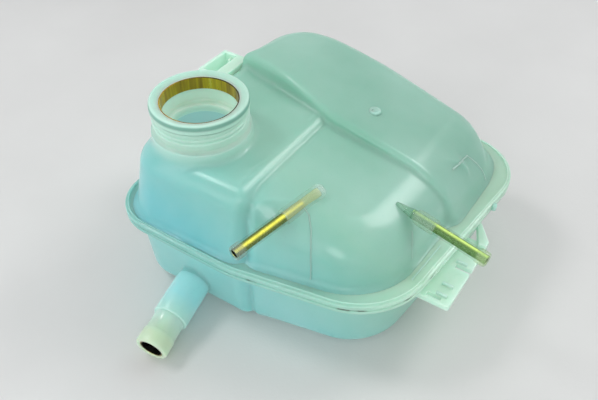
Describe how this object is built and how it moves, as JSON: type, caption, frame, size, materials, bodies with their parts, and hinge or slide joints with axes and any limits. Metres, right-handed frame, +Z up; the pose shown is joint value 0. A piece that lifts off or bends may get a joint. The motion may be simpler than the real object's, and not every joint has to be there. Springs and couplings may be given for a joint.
{
  "type": "coolant expansion tank",
  "caption": "Translucent moulded coolant expansion tank with two lobes, a welded seam flange, a threaded filler neck, vent spigots and an outlet pipe.",
  "frame": {"origin": "centre of the filler mouth, in the plane of its rim", "axes": "+Z up the filler neck, +X along the front from the neck lobe to the spigot lobe, +Y to the back"},
  "size_m": [0.2333, 0.2475, 0.1323],
  "materials": {
    "upper_plastic": "satin translucent polypropylene, aqua to pale green",
    "lower_plastic": "satin translucent polypropylene, aqua",
    "brass": "dull, slightly tarnished"
  },
  "bodies": {
    "root": {"upper_shell": "upper_plastic", "lower_shell": "lower_plastic", "mouth_ring": "brass", "vent_sleeve_left": "brass", "vent_sleeve_right": "brass", "outlet_sleeve": "brass"}
  },
  "joints": []
}
